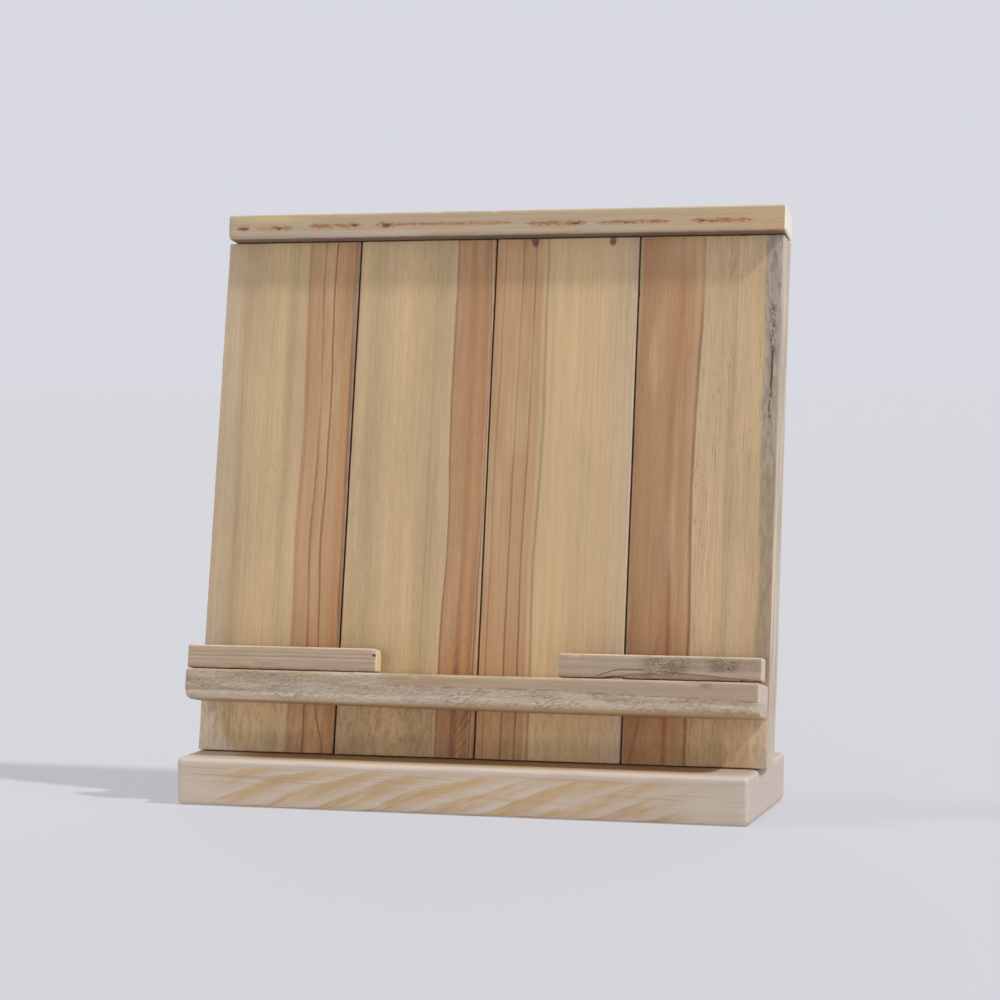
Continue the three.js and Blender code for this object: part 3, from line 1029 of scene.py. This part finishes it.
def paint_pith(s):
    """The cap's broken pith line, with ragged rims, golden insides and dark cores."""
    middle = (s.noise(40, 40, shift=6) - 0.5) * 0.8 + s.along.between(-102, 8, 6) * 0.8 + 5.5
    ragged = (s.noise(5, 1.6, detail=3, soft=0.65, shift=8) - 0.5) * 2.2
    gap = (s.across - middle + ragged * 0.4).size() + ragged * 0.5
    front = s.depth.step(4, 1)
    dashes = []
    cores = []
    for start, end, strength, darkest in CAP_DASHES:
        taper = min(4, 0.25 * (end - start))
        dashes.append(s.along.between(start + taper, end - taper, 1.6 * taper) * strength)
        if darkest is not None:
            cores.append(s.along.near(darkest, 4.5) * strength)
    dashes = strongest(dashes)
    lumps = s.noise(4, 2.2, detail=3, shift=9).step(0.36, 0.6)
    stain = (dashes * 2.9 - gap).step(0, 1.4) * front
    s.paint(stain * 0.5, (180, 138, 90))
    rim = (dashes * (lumps * 1.1 + 0.9) - gap).step(0, 1.0) * front
    s.paint(rim * 0.7, (146, 92, 56))
    gold = gap.step(0.7, 0.1) * s.noise(8, 3, shift=12).step(0.44, 0.55) * dashes * front
    s.paint(gold * 0.8, (190, 152, 90))
    dark = (strongest(cores) * (lumps * 0.8 + 0.7) - gap).step(0, 0.9) * front
    s.paint(dark * 0.85, (84, 46, 30))
    ticks = s.noise(1.2, 6, detail=1, shift=10).step(0.5, 0.6) * s.along.step(50, 60)
    s.paint(rim * ticks * 0.5, (110, 72, 48))
    return rim


def cap_material(board):
    s = Surface("cap_pine", 57.0)
    shade, fine = grain(s, 0.8, 0.9, 0.7)
    place = s.across + (s.noise(70, 12, shift=2) - 0.5) * 3.0
    s.colour = s.stripes(place, CAP_ROWS, CAP_ROWS[0][0], CAP_ROWS[-1][0])
    streak = s.noise(60, 2.2, shift=3).step(0.45, 0.65)
    s.paint(streak * 0.35, (190, 158, 118))
    sunny = s.along.near(-118, 30) * s.across.near(10.2, 2.6)
    s.paint(sunny * 0.8, (196, 176, 112))
    pinkish = s.along.between(-134, -45, 12) * s.across.step(5, 2.5)
    s.paint(pinkish * 0.5, (184, 164, 152))
    warm = s.along.step(60, 138) * s.noise(40, 6, shift=4).step(0.25, 0.6)
    s.paint(warm * 0.6, (188, 150, 98))
    green = s.along.step(70, 120) * s.across.step(8, 12)
    s.paint(green * 0.4, (176, 162, 112))
    s.paint(0.10, DUSTY)
    s.darken(shade + 0.06)
    rim = paint_pith(s)
    # painted shade: the cap's lower edge and underside are darkened
    s.paint(s.across.step(0.9, 0.1) * 0.75, (104, 82, 62))
    slant = board.skew / (board.high[1] - board.low[1])
    end = (s.along + s.depth * slant).step(board.high[0] - 1.2, board.high[0] - 0.4)
    pores = s.noise(0.9, 0.8, detail=3, shift=25)
    s.paint(end, s.shade((230, 220, 206), (pores - 0.5) * 0.2 + 1))
    wear_arrises(s, 0.3)
    return s.finish((fine - 0.5) * 0.10 - rim * 0.18, fine * 0.14 + 0.62)


def rear_material(name, seed):
    """Plain sawn pine, for the pieces behind the planks."""
    s = Surface(name, seed)
    shade, fine = grain(s)
    place = s.across + s.depth * 0.6 + (s.noise(90, 30, shift=2) - 0.5) * 9
    ring = (place / 4.2).fraction()
    late = ring.step(0.4, 0.9) * ring.step(1.0, 0.95) * s.noise(60, 8, shift=7).step(0.35, 0.65)
    s.colour = s.mix(late * 0.6, (190, 164, 126), (160, 116, 76))
    s.darken(shade)
    marks = s.noise(0.9, 40, detail=1, shift=13).step(0.55, 0.7)
    marks = marks * s.noise(30, 20, shift=14).step(0.45, 0.6)
    s.paint(marks * 0.18, (120, 98, 74))
    wear_arrises(s, 0.35)
    height = (fine - 0.5) * 0.10 - late * 0.04 - marks * 0.06
    return s.finish(height, fine * 0.14 + 0.64)


def metal_material(name, seed, tone):
    """Dull, scratched plating."""
    s = Surface(name, seed)
    worn = s.noise(0.9, 0.9, detail=4)
    scratches = s.noise(0.08, 2.5, shift=4)
    s.colour = s.mix(worn.step(0.4, 0.7), tone, (120, 112, 100))
    return s.finish((scratches - 0.5) * 0.03, worn * 0.35 + 0.2, metal=1.0)


# ---- The pieces

METAL = {
    "screw": metal_material("screw_steel", 5.0, (206, 200, 184)),
    "nail": metal_material("nail_steel", 9.0, (176, 176, 178)),
}

# Which of a board's own axes run along the grain, across the face and into the board.
ALONG_X = (0, 2, 1)
UPWARDS = (2, 0, 1)
ON_EDGE = (2, 1, 0)

SEAM_SWELL = 0.35
PLANK_DRIFTS = [(1.7, 1.2), (1.2, 0.2), (0.2, 0.0), (0.0, 0.0)]

fasteners = [Fastener(node) for node in sorted(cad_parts) if node.rsplit("_", 1)[0] in OUTWARD]

hole_points = []
hole_faces = []
for fastener in fasteners:
    points, faces = fastener.hole()
    start = sum(len(group) for group in hole_points)
    hole_points.append(moved(points, fastener.place))
    hole_faces += [tuple(start + corner for corner in face) for face in faces]
holes = add_mesh("holes", np.concatenate(hole_points), hole_faces)


def add_board(board, material):
    """Builds a board with its holes and gives it its finish."""
    finish_piece(board.build(holes), material, [board.node])


base = Base("base_board", UPRIGHT, ALONG_X, 2.6, seed=1.5)
add_board(base, base_material(base))

for index, drift in enumerate(PLANK_DRIFTS):
    plank = Plank(f"back_plank_{index + 1}", LEANING, UPWARDS, 0.8, seed=10.0 + 7 * index)
    plank.drift = drift
    plank.swell = (SEAM_SWELL * (index > 0), SEAM_SWELL * (index < 3))
    add_board(plank, plank_material(plank, index))

ledge = Ledge("tablet_ledge", LEANING, ALONG_X, 1.8, step=1.2, wear=0.2, seed=51.0)
add_board(ledge, ledge_material(ledge))

left_lip = Lip("left_lip", LEANING, ALONG_X, 1.1, step=1.0, seed=61.0)
left_lip.corner = left_lip.high[0]
add_board(left_lip, left_lip_material(left_lip))

right_lip = Lip("right_lip", LEANING, ALONG_X, 1.1, step=1.0, seed=67.0)
right_lip.chip = CHIP_PLACE
add_board(right_lip, right_lip_material(right_lip))

cap = Cap("top_cap", LEANING, ALONG_X, 1.2, step=1.2, seed=71.0)
add_board(cap, cap_material(cap))

for index, name in enumerate(["upper_rear_batten", "lower_rear_batten"]):
    batten = Board(name, LEANING, ALONG_X, 1.0, seed=81.0 + index)
    add_board(batten, rear_material(f"{name}_pine", 63.0 + 5 * index))

for index, name in enumerate(["left_rear_brace", "right_rear_brace"]):
    brace = Brace(name, UPRIGHT, ON_EDGE, 1.0, seed=91.0 + index)
    add_board(brace, rear_material(f"{name}_pine", 75.0 + 5 * index))

bpy.data.objects.remove(holes)
build_fasteners(fasteners)

# ---- Floor, light and camera

FLOOR_HALF = 40000.0  # millimetres
FLOOR_TONE = (146, 146, 151)
FLOOR_GLOW = (146, 147, 152)  # the floor gives off some light, so that cast shadows stay soft
SKY_TONE = (178, 178, 182)
BACKDROP_TONE = (216, 217, 225)

# Each sun: its name, where it comes from, its strength, how many degrees wide it is and its colour.
SUNS = [
    ("key", (0.60, -0.065, 0.70), 2.45, 4, (1.0, 0.98, 0.95)),
    ("above", (0.05, -0.05, 0.70), 0.2, 10, (1.0, 0.98, 0.96)),
    ("left", (-0.60, -0.05, 0.70), 0.6, 10, (1.0, 0.98, 0.96)),
    ("front", (0.05, -1.0, 0.03), 0.88, 18, (1.0, 0.98, 0.97)),
    ("window", (0.97, -0.05, 0.20), 0.12, 40, (0.97, 0.98, 1.0)),
    ("back", (-0.15, 0.97, 0.35), 0.35, 50, (0.98, 0.98, 1.0)),
]

CAMERA_PLACE = (0.39058, -1.35117, 0.20951)  # metres
CAMERA_TURN = (15.85, 2.43, -0.19)  # degrees: to the left, down and in roll
CAMERA_LENS = 102.64  # millimetres, on a sensor 36 mm wide


def add_floor():
    corners = np.array([(-1, -1, 0), (1, -1, 0), (1, 1, 0), (-1, 1, 0)]) * FLOOR_HALF
    floor = add_mesh("floor", corners, [(0, 1, 2, 3)])
    material = bpy.data.materials.new("floor")
    material.use_nodes = True
    shader = material.node_tree.nodes["Principled BSDF"]
    inputs = {
        "Base Color": FLOOR_TONE, "Roughness": 0.9, "Specular IOR Level": 0.1,
        "Emission Color": FLOOR_GLOW, "Emission Strength": 1.0,
    }
    for slot, value in inputs.items():
        plug(material.node_tree, shader.inputs[slot], value)
    floor.data.materials.append(material)


def add_sun(name, toward, strength, degrees, colour):
    """Soft light from the direction `toward`."""
    sun = bpy.data.lights.new(name, "SUN")
    sun.energy = strength
    sun.angle = math.radians(degrees)
    sun.color = colour
    lamp = add_object(name, sun)
    lamp.rotation_euler = Vector(toward).to_track_quat("Z", "Y").to_euler()


def add_world():
    """Even light from all round. Only the camera sees the paler backdrop in its place."""
    world = bpy.data.worlds.new("studio")
    world.use_nodes = True
    tree = world.node_tree
    light = tree.nodes["Background"]
    plug(tree, light.inputs["Color"], SKY_TONE)
    backdrop = new_field(tree, "Background", {"Color": BACKDROP_TONE})
    seen = new_field(tree, "LightPath", {}, "Is Camera Ray")
    mixed = new_field(tree, "MixShader", {0: seen, 1: Field(tree, light.outputs[0]), 2: backdrop})
    plug(tree, tree.nodes["World Output"].inputs["Surface"], mixed)
    bpy.context.scene.world = world


def add_camera():
    """The camera stands in front and to the right, above the stand's middle, turned back to it."""
    yaw, pitch, roll = [math.radians(angle) for angle in CAMERA_TURN]
    turn = Matrix.Rotation(yaw, 4, "Z") @ Matrix.Rotation(math.pi / 2 - pitch, 4, "X")
    camera = bpy.data.cameras.new("camera")
    camera.sensor_width = 36
    camera.lens = CAMERA_LENS
    holder = add_object("camera", camera)
    holder.matrix_world = Matrix.Translation(CAMERA_PLACE) @ turn @ Matrix.Rotation(roll, 4, "Z")
    bpy.context.scene.camera = holder


add_floor()
add_world()
for sun in SUNS:
    add_sun(*sun)
add_camera()
bpy.context.scene.view_settings.view_transform = "Standard"
